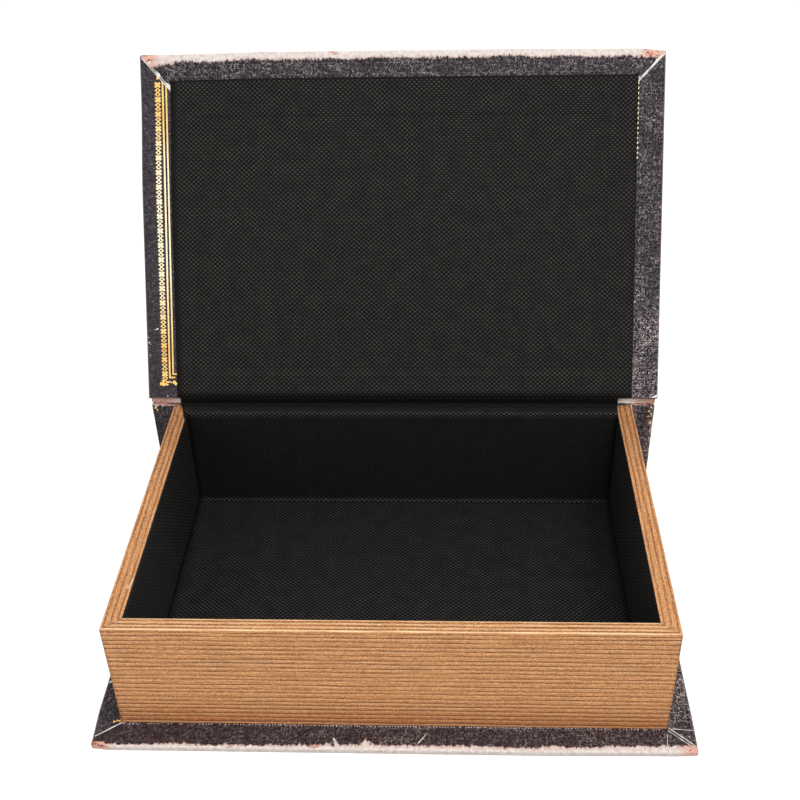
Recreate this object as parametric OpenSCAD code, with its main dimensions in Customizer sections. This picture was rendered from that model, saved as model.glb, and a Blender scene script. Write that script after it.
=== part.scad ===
// A keepsake box made to look like an old book: a shallow tray with walls papered as page
// edges, glued into a case of two covers and a spine, with the front cover as its lid.
// Origin at the middle of the back cover's underside, +Z up, the spine at the rear (+Y).

/* [Covers] */
// Width of the back cover and the spine, from side to side
cover_w = 270; // [200:1:340]
// Depth of the closed box, from its front edge to the spine's outer face
cover_d = 180; // [140:1:240]
// How far the closed lid stands out past the back cover at both sides and the front
lid_over = 0.75; // [0:0.25:3]
// Thickness of the grey board in both covers and the spine
board_t = 2.4; // [1.5:0.1:4]
// Thickness of the printed sheet that wraps the covers and the spine
wrap_t = 0.4; // [0.2:0.05:0.7]
// How far the wrap is turned in over the boards at the two sides
turn_in_side = 28; // [22:1:40]
// How far the wrap is turned in over the boards at the front
turn_in_front = 32; // [22:1:45]

/* [Tray] */
// How far the covers stand out past the tray at each side
side_square = 12.25; // [6:0.25:18]
// How far the covers stand out past the tray at the front
front_square = 13.25; // [6:0.25:18]
// Height of the tray's walls
wall_h = 60; // [35:1:110]
// Thickness of the tray's side walls and rear wall
wall_t = 7.5; // [5:0.5:12]
// Thickness of the tray's front wall
front_wall_t = 5.7; // [5:0.1:12]
// Thickness of the ridged paper that covers the walls as page edges
page_t = 0.4; // [0.2:0.05:0.8]
// Thickness of the black cloth that lines the tray and the lid
lining_t = 0.4; // [0.2:0.05:0.8]

/* [Wall pins] */
// Length of the pins that join the walls at the corners
pin_l = 18; // [14:0.5:25]
// Width of a pin
pin_w = 1.2; // [0.8:0.1:1.6]
// Thickness of a pin
pin_t = 1; // [0.8:0.1:1.6]
// Distance of the highest and lowest pins from the wall's edges
pin_edge = 10; // [6:0.5:14]
// How many pins join each corner
pin_count = 3; // [2:1:5]

/* [Lid lining] */
// Distance of the lid lining from the lid's left edge
lining_left = 15.75; // [8:0.25:20]
// Distance of the lid lining from the lid's right edge
lining_right = 13.75; // [8:0.25:20]
// Distance of the lid lining from the lid's front edge
lining_front = 13.25; // [8:0.25:20]
// Distance of the lid lining from the lid's rear edge
lining_rear = 0.6; // [0:0.1:3]

/* [Hinge] */
// Angle between the open lid and its closed place
open_angle = 118; // [60:1:120]
// Gap between the closed lid's lining and the tray's rim
lid_gap = 0.3; // [0.2:0.05:1]
// How far the lid's rear edge stands out behind the hinge line
heel = 0.6; // [0.3:0.1:2]
// Gap at the fold between the spine's and the lid's parts of the wrap
fold_gap = 0.1; // [0.05:0.05:0.3]
// How far the cloth hinge strip reaches past the tray's inside at its left end
strip_left = 4.5; // [0:0.25:6]
// How far the cloth hinge strip reaches past the tray's inside at its right end
strip_right = 1.5; // [0:0.25:6]
// How far the cloth hinge strip reaches under the lid's lining
strip_lid = 13; // [8:0.5:20]

/* [Hidden] */

// Overshoot of a cut past the surface that it opens
cut = 1;

// Cover and lid thickness: a board wrapped on both sides, and on the lid its lining too
cover_t = board_t + 2 * wrap_t;
lid_t = cover_t + lining_t;
window_w = cover_w - 2 * turn_in_side;
lid_w = cover_w + 2 * lid_over;
lid_l = cover_d + lid_over - wrap_t - fold_gap;
lid_window_w = lid_w - 2 * turn_in_side;

// Heights
wall_top = cover_t + wall_h;
rim_top = wall_top + page_t;
spine_top = wall_top - wrap_t;
floor_top = cover_t + lining_t;
lid_under = rim_top + lid_gap;
lid_top = lid_under + lid_t;
hinge_z = lid_top - wrap_t / 2;
fold_z = lid_top - fold_gap;

// Places across the width, from the middle
tray_x = cover_w / 2 - side_square;
wall_x = tray_x - page_t;
inner_x = wall_x - wall_t;
rim_x = inner_x - lining_t;

// Places along the depth, front to rear
front_y = -cover_d / 2;
back_y = cover_d / 2;
flap_y = back_y - wrap_t;
hinge_y = flap_y - fold_gap - heel;
tray_y = front_y + front_square;
wall_y = tray_y + page_t;
inner_y = wall_y + front_wall_t;
rim_y = inner_y + lining_t;
spine_y = back_y - cover_t;
rear_y = spine_y - wall_t;
strip_y = rear_y - lining_t;
window_y = front_y + turn_in_front;

// Box between two opposite corners
module block(low, high) {
    translate(low) cube(high - low);
}

// Slab of one width and length, with one end on the X axis
module slab(width, length, height) {
    block([-width / 2, 0, 0], [width / 2, length, height]);
}

// Board of a cover: outer face down, spine end at y = 0
module cover_board(width, length) {
    translate([0, wrap_t, wrap_t])
        slab(width - 2 * wrap_t, length - 2 * wrap_t, board_t);
}

// Wrap of a cover: the outer face, the edges and the turn-ins on three sides
module cover_wrap(width, length) {
    difference() {
        slab(width, length, cover_t);
        cover_board(width, length);
        translate([0, wrap_t, wrap_t + board_t])
            slab(width - 2 * turn_in_side, length - turn_in_front - wrap_t, wrap_t + cut);
    }
}

// Places a cover as the back cover
module as_base() {
    translate([0, back_y, 0]) rotate([0, 0, 180]) children();
}

// Places what is drawn on the lid: y from its rear edge, z inwards from its outer face
module on_lid() {
    translate([0, hinge_y, hinge_z]) rotate([180 - open_angle, 0, 0])
        translate([0, -heel, -wrap_t / 2]) children();
}

module base_board() {
    color([0.60, 0.57, 0.52]) as_base() cover_board(cover_w, cover_d);
}

module base_wrap() {
    color([0.15, 0.13, 0.13]) as_base() cover_wrap(cover_w, cover_d);
}

module spine_board() {
    color([0.60, 0.57, 0.52])
        block([-cover_w / 2 + wrap_t, spine_y + wrap_t, cover_t],
            [cover_w / 2 - wrap_t, flap_y, spine_top]);
}

// The wrap's outer sheet stands above the spine as the free flap that folds at the hinge
module spine_wrap() {
    color([0.17, 0.14, 0.14]) {
        difference() {
            block([-cover_w / 2, spine_y, cover_t], [cover_w / 2, back_y, wall_top]);
            spine_board();
            block([-window_w / 2, spine_y - cut, cover_t - cut],
                [window_w / 2, flap_y, wall_top + cut]);
        }
        block([-cover_w / 2, flap_y, wall_top], [cover_w / 2, back_y, fold_z]);
        for (side = [0, 1]) mirror([side, 0, 0])
            block([window_w / 2, flap_y - wrap_t, wall_top],
                [cover_w / 2, flap_y, lid_under]);
    }
}

// Pins of the corner at the front or rear wall, driven in from the side at x > 0
module corner_pin_row(wall_mid_y) {
    pitch = (wall_h - 2 * pin_edge) / (pin_count - 1);
    for (i = [0 : pin_count - 1])
        translate([wall_x - pin_l, wall_mid_y - pin_t / 2,
            cover_t + pin_edge + i * pitch - pin_w / 2])
            cube([pin_l, pin_t, pin_w]);
}

module all_pins() {
    for (side = [0, 1]) mirror([side, 0, 0]) {
        corner_pin_row(wall_y + front_wall_t / 2);
        corner_pin_row(rear_y + wall_t / 2);
    }
}

module corner_pins() {
    color([0.72, 0.72, 0.74]) all_pins();
}

// Wall with the holes of its pins
module pinned_wall(low, high) {
    color([0.72, 0.58, 0.42]) difference() {
        block(low, high);
        all_pins();
    }
}

module front_wall() {
    pinned_wall([-inner_x, wall_y, cover_t], [inner_x, inner_y, wall_top]);
}

module rear_wall() {
    pinned_wall([-inner_x, rear_y, cover_t], [inner_x, spine_y, wall_top]);
}

module left_wall() {
    pinned_wall([-wall_x, wall_y, cover_t], [-inner_x, spine_y, wall_top]);
}

module right_wall() {
    pinned_wall([inner_x, wall_y, cover_t], [wall_x, spine_y, wall_top]);
}

// Page-edge paper round three sides: outer face and rim, one sheet thick
module page_shell() {
    difference() {
        block([-tray_x, tray_y, cover_t], [tray_x, spine_y, rim_top]);
        block([-wall_x, wall_y, cover_t - cut], [wall_x, spine_y + cut, wall_top]);
        block([-rim_x, rim_y, cover_t - cut], [rim_x, spine_y + cut, rim_top + cut]);
        strip_over();
    }
}

// Part of the page-edge paper over one outline in plan, mitred where two strips meet
module page_strip(outline) {
    color([0.66, 0.46, 0.26]) intersection() {
        page_shell();
        linear_extrude(rim_top + cut) polygon(outline);
    }
}

module page_strip_front() {
    page_strip([[-tray_x, tray_y], [tray_x, tray_y], [rim_x, rim_y], [-rim_x, rim_y]]);
}

module page_strip_left() {
    page_strip([[-tray_x, tray_y], [-rim_x, rim_y], [-rim_x, spine_y], [-tray_x, spine_y]]);
}

module page_strip_right() {
    page_strip([[tray_x, tray_y], [tray_x, spine_y], [rim_x, spine_y], [rim_x, rim_y]]);
}

// Lining sheets of the tray: the floor steps down between the wrap's turn-ins
module floor_lining() {
    color([0.06, 0.06, 0.06]) difference() {
        union() {
            block([-inner_x, inner_y, cover_t], [inner_x, rear_y, floor_top]);
            block([-window_w / 2, window_y, cover_t - wrap_t], [window_w / 2, rear_y, floor_top]);
        }
        block([-window_w / 2 + lining_t, window_y + lining_t, cover_t - wrap_t + lining_t],
            [window_w / 2 - lining_t, rear_y + cut, floor_top + cut]);
    }
}

module front_lining() {
    color([0.05, 0.05, 0.05])
        block([-rim_x, inner_y, floor_top], [rim_x, rim_y, wall_top]);
}

module left_lining() {
    color([0.05, 0.05, 0.05])
        block([-inner_x, inner_y, floor_top], [-rim_x, rear_y, wall_top]);
}

module right_lining() {
    color([0.05, 0.05, 0.05])
        block([rim_x, inner_y, floor_top], [inner_x, rear_y, wall_top]);
}

// Top of the hinge strip, over the spine, the rear wall and the ends of the side rims
module strip_over() {
    block([-inner_x - strip_left, strip_y, wall_top],
        [inner_x + strip_right, flap_y - wrap_t, rim_top]);
}

// Hinge strip on the tray: over the rear rim and down the rear wall as its lining
module hinge_strip() {
    color([0.07, 0.07, 0.07]) {
        strip_over();
        block([-rim_x, strip_y, floor_top], [rim_x, rear_y, wall_top]);
    }
}

module lid_board() {
    color([0.60, 0.57, 0.52]) on_lid() cover_board(lid_w, lid_l);
}

module lid_wrap() {
    color([0.15, 0.13, 0.13]) on_lid() cover_wrap(lid_w, lid_l);
}

// Hinge strip on the lid: pasted between the turn-ins, under the lid's lining
module hinge_strip_lid() {
    color([0.07, 0.07, 0.07]) on_lid()
        block([-lid_window_w / 2, wrap_t, cover_t - wrap_t],
            [lid_window_w / 2, strip_lid, cover_t]);
}

// Lid lining: it steps down to the board between the turn-ins and the hinge strip
module lid_lining() {
    color([0.07, 0.07, 0.07]) on_lid() difference() {
        union() {
            block([-lid_w / 2 + lining_left, lining_rear, cover_t],
                [lid_w / 2 - lining_right, lid_l - lining_front, lid_t]);
            block([-lid_window_w / 2, strip_lid, cover_t - wrap_t],
                [lid_window_w / 2, lid_l - turn_in_front, lid_t]);
        }
        block([-lid_window_w / 2 + lining_t, strip_lid + lining_t,
            cover_t - wrap_t + lining_t],
            [lid_window_w / 2 - lining_t, lid_l - turn_in_front - lining_t, lid_t + cut]);
    }
}

base_board();
base_wrap();
spine_board();
spine_wrap();
front_wall();
rear_wall();
left_wall();
right_wall();
corner_pins();
page_strip_front();
page_strip_left();
page_strip_right();
floor_lining();
front_lining();
left_lining();
right_lining();
hinge_strip();
lid_board();
lid_wrap();
lid_lining();
hinge_strip_lid();
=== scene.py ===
"""Looks of the book box: a printed faux-leather case, a tray papered as page edges,
black embossed cloth inside, and gilt ornament. Lengths are in millimetres until a
mesh is made. A cover's own frame is x across, v from its rear edge, w inwards."""

import random
from math import copysign, cos, pi, radians, sin

import bmesh
import bpy
import numpy as np
from mathutils import Matrix, Vector
from mathutils.kdtree import KDTree


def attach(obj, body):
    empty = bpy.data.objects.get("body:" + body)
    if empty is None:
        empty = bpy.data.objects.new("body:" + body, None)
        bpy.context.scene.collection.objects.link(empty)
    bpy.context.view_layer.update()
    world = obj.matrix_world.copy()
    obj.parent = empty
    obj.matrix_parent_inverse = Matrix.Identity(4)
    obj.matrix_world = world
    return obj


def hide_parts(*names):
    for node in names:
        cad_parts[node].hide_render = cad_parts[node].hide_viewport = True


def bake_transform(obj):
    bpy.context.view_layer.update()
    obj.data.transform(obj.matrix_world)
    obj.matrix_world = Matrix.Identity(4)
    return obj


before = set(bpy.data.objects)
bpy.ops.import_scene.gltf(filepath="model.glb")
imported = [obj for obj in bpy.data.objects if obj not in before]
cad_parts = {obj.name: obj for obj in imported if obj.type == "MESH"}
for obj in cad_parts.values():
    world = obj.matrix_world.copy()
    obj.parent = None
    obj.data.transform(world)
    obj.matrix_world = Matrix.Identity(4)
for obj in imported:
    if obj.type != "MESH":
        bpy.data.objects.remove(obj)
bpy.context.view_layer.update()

MM = 0.001

# Covers, spine and wrap
COVER_T = 3.2
WRAP_T = 0.4
EDGE_R = 0.8
OUTER_BAND = 12.0
TURN_SIDE = 28.0
TURN_FRONT = 32.0
BACK_Y = 90.0
SPINE_HALF = 135.0
SPINE_Y = 86.8
SPINE_TOP = 63.2
HINGE_Y, HINGE_Z = 88.9, 67.3
HEEL = 0.6
LID_LEAN = radians(62.0)

# Tray
TRAY_X = 122.75
TRAY_Y = -76.75
RIM_X = 114.45
RIM_Y = -70.25
RIM_TOP = 63.6
PAGE_T = 0.4
PAGE_SHOWN_T = 0.1
LINING_T = 0.4
FLOOR_Z = 3.6
REAR_Y = 79.3

# Cloth on the lid and over the joint
LID_CLOTH = (-120.0, 122.0, 0.6, 167.0)
STRIP_LID = 13.0
STRIP_T = 0.3
DOT_PITCH = (2.545, 2.314)


def srgb(red, green, blue):
    """Linear colour of one written in the usual 0 to 255."""
    parts = [c / 255.0 for c in (red, green, blue)]
    return tuple(c / 12.92 if c <= 0.04045 else ((c + 0.055) / 1.055) ** 2.4 for c in parts) + (1.0,)


def smooth(value, low, high):
    t = np.clip((value - low) / (high - low), 0.0, 1.0)
    return t * t * (3.0 - 2.0 * t)


def together(*parts):
    """Numbers and grids side by side, as points or as marks."""
    return np.stack(np.broadcast_arrays(*parts), -1).astype(float)


def run_along(line):
    """Length from the first of a line's points to each of them."""
    return np.concatenate([[0.0], np.cumsum(np.hypot(*np.diff(line, axis=0).T))])


def on_base(x, v, w):
    """Row frame of a point on the back cover, whose worn fore corners sit a little in."""
    left, right = smooth(-x, 126.0, 135.0), 0.7 * smooth(x, 60.0, 130.0) + 0.5 * smooth(x, 124.0, 135.0)
    drop = (0.8 * left + right) * smooth(v, 165.0, 180.0)
    x = x + (0.9 * smooth(-x, 100.0, 134.0) - 0.3 * smooth(x, 120.0, 134.0)) * smooth(v, 158.0, 179.0)
    return together(x, BACK_Y - v + drop, w)


def at_base(x, y, w):
    """The same, from a place in the room."""
    return on_base(x, BACK_Y - y, w)


def on_lid(x, v, w):
    """Row frame of a point on the open lid, whose worn fore corners sit a little in."""
    left, right = smooth(-x, 60.0, 125.0), smooth(x, 120.0, 136.0)
    drop = 0.9 * left * smooth(v, 120.0, 178.0)
    drop = drop + (0.4 * smooth(x, 60.0, 115.0) + 1.2 * right) * smooth(v, 165.0, 180.0)
    x = x + left * smooth(v, 105.0, 160.0)
    v, w = v - drop - HEEL, w - WRAP_T / 2
    return together(x, HINGE_Y + cos(LID_LEAN) * v - sin(LID_LEAN) * w,
                    HINGE_Z + sin(LID_LEAN) * v + cos(LID_LEAN) * w)


def new_object(name, data):
    thing = bpy.data.objects.new(name, data)
    bpy.context.scene.collection.objects.link(thing)
    return thing


def sharpen(mesh, degrees):
    bm = bmesh.new()
    bm.from_mesh(mesh)
    for edge in bm.edges:
        if len(edge.link_faces) == 2 and edge.calc_face_angle(0.0) > radians(degrees):
            edge.smooth = False
    bm.to_mesh(mesh)
    bm.free()


class Shape:
    """Grids and prisms collected into one mesh. Marks are the values of its UV maps.
    Where backs are given too, the mesh is a closed sheet between the points and their backs."""

    # Besides wear, the wear map carries painted shade and highlights on the pages and the cloth.
    MAPS = ("sheet", "wear", "tone")

    def __init__(self):
        self.points, self.backs, self.faces, self.marks = [], [], [], []

    def extend(self, points, backs=None):
        """Takes in points and their backs, and gives the place of the first."""
        start = len(self.points)
        self.points.extend(np.reshape(points, (-1, 3)).tolist())
        if backs is not None:
            self.backs.extend(np.reshape(backs, (-1, 3)).tolist())
        return start

    def grid(self, points, marks, flip=False, backs=None):
        rows, cols = points.shape[:2]
        start = self.extend(points, backs)
        flat = marks.reshape(-1, marks.shape[-1])
        for i in range(rows - 1):
            for j in range(cols - 1):
                a = i * cols + j
                self.ring([a, a + 1, a + cols + 1, a + cols], start, flat, flip)

    def face(self, points, marks, flip=False, backs=None):
        self.ring(list(range(len(points))), self.extend(points, backs), marks, flip)

    def ring(self, ring, start, marks, flip):
        if flip:
            ring = ring[::-1]
        self.faces.append([start + k for k in ring])
        self.marks.append([tuple(marks[k]) for k in ring])

    def prism(self, outline, place, low, high, red=0.0, pale=0.0):
        """A thin closed plate over a flat outline, placed by place(x, v, w), high side shown."""
        outline = np.asarray(outline, float)
        after = np.roll(outline, -1, 0)
        if (outline[:, 0] * after[:, 1] - after[:, 0] * outline[:, 1]).sum() < 0:
            outline = outline[::-1]
        n, start = len(outline), len(self.points)
        for w in (low, high):
            self.extend(place(*outline.T, w))
        marks = [(*at, red, pale, 0.0, 0.0) for at in outline] * 2
        rings = [list(range(n - 1, -1, -1)), list(range(n, 2 * n))]
        rings += [[i, (i + 1) % n, n + (i + 1) % n, n + i] for i in range(n)]
        for ring in rings:
            self.ring(ring, start, marks, False)

    def weld(self, reach):
        """Joins points that lie together, and leaves out what that empties."""
        tree = KDTree(len(self.points))
        for k, point in enumerate(self.points):
            tree.insert(point, k)
        tree.balance()
        keep = [min(found[1] for found in tree.find_range(p, reach)) for p in self.points]
        faces, marks = [], []
        for ring, values in zip(self.faces, self.marks):
            pairs = [(keep[k], value) for k, value in zip(ring, values)]
            pairs = [pair for k, pair in enumerate(pairs) if pair[0] != pairs[k - 1][0]]
            if len({pair[0] for pair in pairs}) > 2:
                faces.append([pair[0] for pair in pairs])
                marks.append([pair[1] for pair in pairs])
        return faces, marks

    def close(self, faces, marks):
        """Adds the back of each face, and a strip from each open edge to its back."""
        n = len(self.points)
        edges = {}
        for ring, values in zip(faces, marks):
            for k in range(len(ring)):
                a, b = (ring[k - 1], values[k - 1]), (ring[k], values[k])
                edges.setdefault(frozenset((a[0], b[0])), []).append((a, b))
        back = [[n + k for k in ring[::-1]] for ring in faces]
        back_marks = [values[::-1] for values in marks]
        for found in edges.values():
            if len(found) == 1:
                (a, mark_a), (b, mark_b) = found[0]
                back.append([b, a, n + a, n + b])
                back_marks.append([mark_b, mark_a, mark_a, mark_b])
        return faces + back, marks + back_marks

    def make(self, name, material, reach=0.004, rounded=True, crisp=None):
        """The object, in metres. Folds of more than crisp degrees stay sharp."""
        faces, marks = self.weld(reach)
        if self.backs:
            faces, marks = self.close(faces, marks)
        points = np.array(self.points + self.backs) * MM
        used = sorted({k for ring in faces for k in ring})
        place = {k: i for i, k in enumerate(used)}
        mesh = bpy.data.meshes.new(name)
        mesh.from_pydata(points[used].tolist(), [], [[place[k] for k in ring] for ring in faces])
        values = np.array([value for ring in marks for value in ring], np.float32)
        for k, layer in enumerate(self.MAPS):
            uv = mesh.uv_layers.new(name=layer)
            uv.data.foreach_set("uv", values[:, 2 * k:2 * k + 2].ravel())
        mesh.polygons.foreach_set("use_smooth", [rounded] * len(mesh.polygons))
        mesh.update()
        mesh.materials.append(material)
        if crisp:
            sharpen(mesh, crisp)
        return new_object(name, mesh)


def thicken(piece, thickness):
    """Gives a sheet its thickness, on the side away from its shown face."""
    solid = piece.modifiers.new("thickness", "SOLIDIFY")
    solid.thickness = thickness * MM
    solid.offset = -1.0
    solid.use_even_offset = True
    return piece


class Nodes:
    """Short calls that build one node tree. A colour is a socket or three values of 0 to 255."""

    def __init__(self, owner, shader="Principled BSDF"):
        owner.use_nodes = True
        self.owner, self.tree = owner, owner.node_tree
        self.shader = self.tree.nodes[shader]

    def put(self, socket, value):
        if isinstance(value, bpy.types.NodeSocket):
            self.tree.links.new(value, socket)
        else:
            socket.default_value = value

    def add(self, kind, values=None, out=0, **settings):
        node = self.tree.nodes.new(kind)
        for key, value in settings.items():
            setattr(node, key, value)
        for key, value in (values or {}).items():
            self.put(node.inputs[key], value)
        return node.outputs[out]

    def uv(self, name):
        return self.add("ShaderNodeUVMap", uv_map=name)

    def parts(self, vector):
        node = self.tree.nodes.new("ShaderNodeSeparateXYZ")
        self.put(node.inputs[0], vector)
        return node.outputs[0], node.outputs[1]

    def scaled(self, vector, scale, shift=(0.0, 0.0, 0.0)):
        return self.add("ShaderNodeMapping", {"Vector": vector, "Scale": scale, "Location": shift})

    def noise(self, vector, scale, detail, rough, shift=0.0):
        if shift:
            vector = self.scaled(vector, (1.0, 1.0, 1.0), (shift, 0.7 * shift, 0.0))
        values = {"Vector": vector, "Scale": scale, "Detail": detail, "Roughness": rough}
        return self.add("ShaderNodeTexNoise", values)

    def streaks(self, vector, scale, rough, shift=(0.0, 0.0), detail=3.0):
        """Noise drawn out along one way of the sheet."""
        return self.noise(self.scaled(vector, (*scale, 1.0), (*shift, 0.0)), 1.0, detail, rough)

    def sum(self, operation, *values):
        return self.add("ShaderNodeMath", dict(enumerate(values)), operation=operation)

    def vector(self, operation, *values, out=0):
        return self.add("ShaderNodeVectorMath", dict(enumerate(values)), out, operation=operation)

    def times(self, first, second):
        return self.sum("MULTIPLY", first, second)

    def plus(self, first, second):
        return self.sum("ADD", first, second)

    def swing(self, value, span):
        """A noise value turned into one from -span / 2 to span / 2."""
        return self.times(self.sum("SUBTRACT", value, 0.5), span)

    def step(self, value, low, high, start=0.0, end=1.0):
        values = {"Value": value, "From Min": low, "From Max": high, "To Min": start, "To Max": end}
        return self.add("ShaderNodeMapRange", values, interpolation_type="SMOOTHSTEP")

    def mix(self, factor, first, second):
        node = self.tree.nodes.new("ShaderNodeMix")
        node.data_type = "RGBA"
        self.put(node.inputs[0], factor)
        for slot, color in ((6, first), (7, second)):
            self.put(node.inputs[slot], srgb(*color) if isinstance(color, tuple) else color)
        return node.outputs[2]

    def ramp(self, value, low, high, first, second):
        """One colour up to low, another from high on."""
        return self.mix(self.step(value, low, high), first, second)

    def tint(self, color, value, low, high, share, shade):
        """Lays a shade over a colour: none of it at low, and this share of it at high."""
        return self.mix(self.step(value, low, high, 0.0, share), color, shade)

    def fill(self, values):
        for key, value in values.items():
            self.put(self.shader.inputs[key], value)

    def finish(self, color, grain, rough, height, strength, distance, specular=0.5, metallic=0.0):
        """Roughness goes from one value of rough to the other with the grain."""
        relief = {"Height": height, "Strength": strength, "Distance": distance}
        self.fill({"Base Color": color, "Roughness": self.step(grain, 0.3, 0.7, *rough),
                   "Normal": self.add("ShaderNodeBump", relief), "Metallic": metallic,
                   "Specular IOR Level": specular})
        return self.owner


def new_material(name):
    return Nodes(bpy.data.materials.new(name))


def printed_material(name):
    """A material, the place on its flat sheet, and the two values of the wear map, which holds real wear on
    the leather and the gilt, and painted shade and highlights on the pages and the cloth.
    """
    n = new_material(name)
    return n, n.uv("sheet"), *n.parts(n.uv("wear"))


def leather_material():
    """Printed faux leather: dark ground with light filaments, pale ragged wear, rust at corners.
    The marks give the distance from the wear's line (below 0 it is worn), the distance from a
    rusty corner, the strength of the filaments, and how even the ground is. Below 0 the last one
    makes the ground browner, and above 1 it whitens the wear with painted light, which lifts the
    shade on the fold's inside."""
    n, sheet, edge, along = printed_material("printed_leather")
    scuff, even = n.parts(n.uv("tone"))
    fine = n.noise(sheet, 1.1, 3.0, 0.7)
    fibre = n.noise(sheet, 0.5, 4.0, 0.75, 31.0)
    patch = n.noise(sheet, 0.1, 3.0, 0.6, 12.0)
    ground = n.ramp(fibre, 0.35, 0.65, (22, 19, 24), (48, 42, 47))
    ground = n.mix(even, ground, n.ramp(fibre, 0.35, 0.65, (36, 32, 38), (60, 55, 61)))
    lines = []
    for scale, shift in ((0.42, 0.0), (0.62, 47.0)):
        level = n.noise(sheet, scale, 1.5, 0.5, shift)
        lines.append(n.step(n.sum("ABSOLUTE", n.swing(level, 2.0)), 0.044, 0.012))
    line = n.times(n.sum("MAXIMUM", *lines), n.step(fibre, 0.30, 0.52))
    strength = n.times(n.step(scuff, 0.0, 1.4, 0.1, 1.3), n.step(patch, 0.32, 0.6, 0.45, 1.1))
    line_color = n.ramp(fine, 0.35, 0.65, (124, 113, 115), (230, 217, 214))
    color = n.mix(n.times(line, strength), ground, line_color)
    smear = n.step(n.streaks(sheet, (0.3, 0.07), 0.6), 0.52, 0.68)
    color = n.mix(n.times(smear, n.step(scuff, 0.4, 1.0, 0.0, 0.5)), color, (112, 101, 101))
    color = n.tint(color, even, 0.0, -1.0, 0.06, (122, 70, 40))
    margin = n.times(n.step(edge, 2.8, 1.6, 0.0, 0.5), n.step(along, 45.0, 55.0))
    color = n.mix(margin, color, (140, 127, 127))

    comb = n.swing(n.streaks(sheet, (0.8, 0.22), 0.65), 3.4)
    ragged = n.swing(n.noise(sheet, 0.5, 4.0, 0.7, 5.0), 4.0)
    wander = n.swing(n.noise(sheet, 0.1, 2.0, 0.5), 3.0)
    depth = n.plus(n.plus(edge, comb), n.plus(wander, ragged))
    pale = n.ramp(fibre, 0.40, 0.64, (222, 213, 206), (201, 186, 179))
    pale = n.tint(pale, depth, -1.3, 0.2, 1.0, (182, 154, 148))
    # Above 1, painted light whitens the wear; the fold's shaded inside uses it.
    pale = n.tint(pale, even, 1.0, 2.0, 1.0, (252, 246, 240))
    rust = n.times(n.step(n.plus(along, n.times(fibre, 16.0)), 20.0, 13.0), n.step(fine, 0.34, 0.52))
    stroke = n.streaks(sheet, (0.10, 0.36), 0.7, (3.0, 8.0))
    pale = n.mix(rust, pale, n.ramp(stroke, 0.52, 0.58, (214, 158, 136), (140, 68, 54)))
    spot = n.streaks(sheet, (0.13, 0.4), 0.7, (5.0, 57.0))
    pale = n.tint(pale, spot, 0.63, 0.70, 0.8, (188, 124, 100))
    color = n.mix(n.step(depth, 0.3, -0.3), color, pale)
    height = n.plus(n.times(line, 0.6), n.times(fine, 0.8))
    return n.finish(color, fibre, (0.50, 0.68), height, 0.35, 0.00012, specular=0.08)


def page_material():
    """Gold-brown embossed paper with a fine speckle: painted shade in the grooves and over the foot, and
    painted highlights on the ridges.
    """
    n, sheet, painted_shade, light = printed_material("page_edge_paper")
    foot = n.parts(sheet)[1]
    streak = n.streaks(sheet, (0.06, 1.1), 0.65, detail=4.0)
    speckle = n.noise(sheet, 1.1, 3.0, 0.75)
    grit = n.noise(sheet, 0.6, 4.0, 0.75, 9.0)
    broken = n.streaks(sheet, (0.4, 1.6), 0.7, (6.0, 2.0))
    color = n.ramp(streak, 0.38, 0.62, (224, 159, 104), (184, 122, 74))
    # The tint keyed to the height up the strip, from 24 mm down to 3 mm, is painted shade at the foot.
    for value, low, high, share, shade in ((speckle, 0.52, 0.66, 0.75, (144, 88, 50)),
                                           (speckle, 0.46, 0.32, 0.7, (250, 202, 146)),
                                           (grit, 0.57, 0.66, 0.5, (138, 84, 50)),
                                           (foot, 24.0, 3.0, 0.6, (170, 98, 54)),
                                           (broken, 0.54, 0.62, 0.5, (140, 84, 48)),
                                           (broken, 0.45, 0.37, 0.5, (250, 198, 138))):
        color = n.tint(color, value, low, high, share, shade)
    # Painted shade: the grooves are darkened, and so are the rim tops towards the hinge.
    color = n.mix(n.times(painted_shade, n.step(speckle, 0.40, 0.56, 0.5, 1.0)), color, (102, 58, 34))
    # Painted highlights on the rim's ridges and just below the grooves.
    color = n.mix(n.times(light, 0.75), color, (255, 226, 182))
    height = n.plus(n.times(streak, 0.8), speckle)
    return n.finish(color, speckle, (0.42, 0.6), height, 0.35, 0.00015, specular=0.2)


def cloth_material():
    """Black non-woven cloth with rows of small pressed dots, each row set off by half. The wear
    map gives the dots' strength and a painted shade that darkens the cloth, or below 0 painted
    light that lightens it."""
    n, sheet, strength, dark = printed_material("embossed_cloth")
    reach = []
    for shift in (0.0, 0.5):
        cell = n.scaled(sheet, (1.0 / DOT_PITCH[0], 1.0 / DOT_PITCH[1], 0.0), (shift, shift, 0.0))
        cell = n.vector("SUBTRACT", n.vector("FRACTION", cell), (0.5, 0.5, 0.0))
        reach.append(n.vector("LENGTH", n.vector("MULTIPLY", cell, (2.0, 2.6, 0.0)), out=1))
    near = n.sum("MINIMUM", *reach)
    dot = n.times(n.step(near, 0.62, 0.30), strength)
    fibre = n.noise(sheet, 1.8, 4.0, 0.7)
    patch = n.noise(sheet, 0.12, 3.0, 0.6)
    ground = n.ramp(fibre, 0.35, 0.7, (13, 13, 12), (25, 24, 23))
    shine = n.ramp(patch, 0.3, 0.7, (50, 49, 47), (68, 66, 63))
    color = n.mix(n.times(dot, n.step(fibre, 0.25, 0.55, 0.55, 1.0)), ground, shine)
    # The second value paints shade towards near black, and below 0 paints light towards grey.
    color = n.mix(dark, color, (3, 3, 3))
    color = n.tint(color, dark, 0.0, -1.0, 0.5, (66, 64, 62))
    height = n.plus(n.times(dot, -1.0), n.times(fibre, 0.5))
    return n.finish(color, near, (0.55, 0.85), height, 0.4, 0.00012, specular=0.08)


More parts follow.
